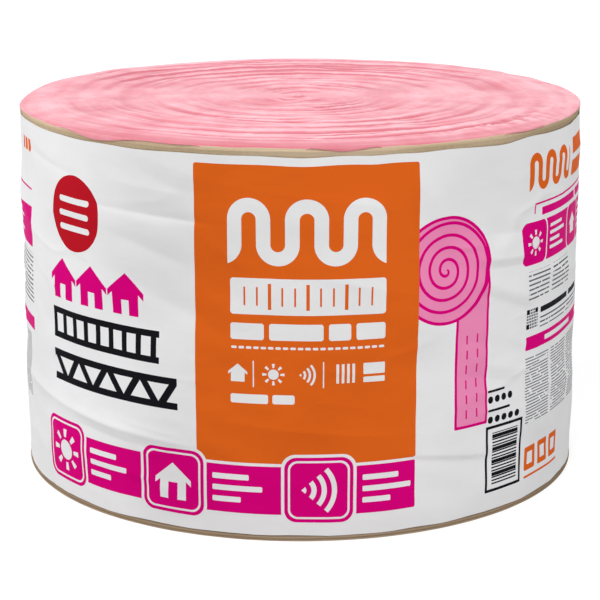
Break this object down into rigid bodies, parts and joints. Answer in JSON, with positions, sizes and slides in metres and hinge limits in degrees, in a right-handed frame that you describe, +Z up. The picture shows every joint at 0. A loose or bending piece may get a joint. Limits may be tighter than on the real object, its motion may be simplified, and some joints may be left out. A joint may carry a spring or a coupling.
{
  "type": "insulation roll",
  "caption": "Standing roll of glass-wool blanket with a kraft paper facing and a printed film wrap, for filling wall cavities.",
  "frame": {"origin": "on the floor under the roll's axis, in the plane of the end that it stands on", "axes": "+Z up along the roll's axis; -Y towards the middle of the printed front; +X to the right of someone facing that front"},
  "size_m": [0.588, 0.5879, 0.384],
  "materials": {
    "glass_wool": "soft matt fibre",
    "kraft_paper": "matt brown paper",
    "printed_film": "satin white film with flat colour print"
  },
  "bodies": {
    "root": {"wool_blanket": "glass_wool", "kraft_facing": "kraft_paper", "film_wrap": "printed_film"}
  },
  "joints": []
}
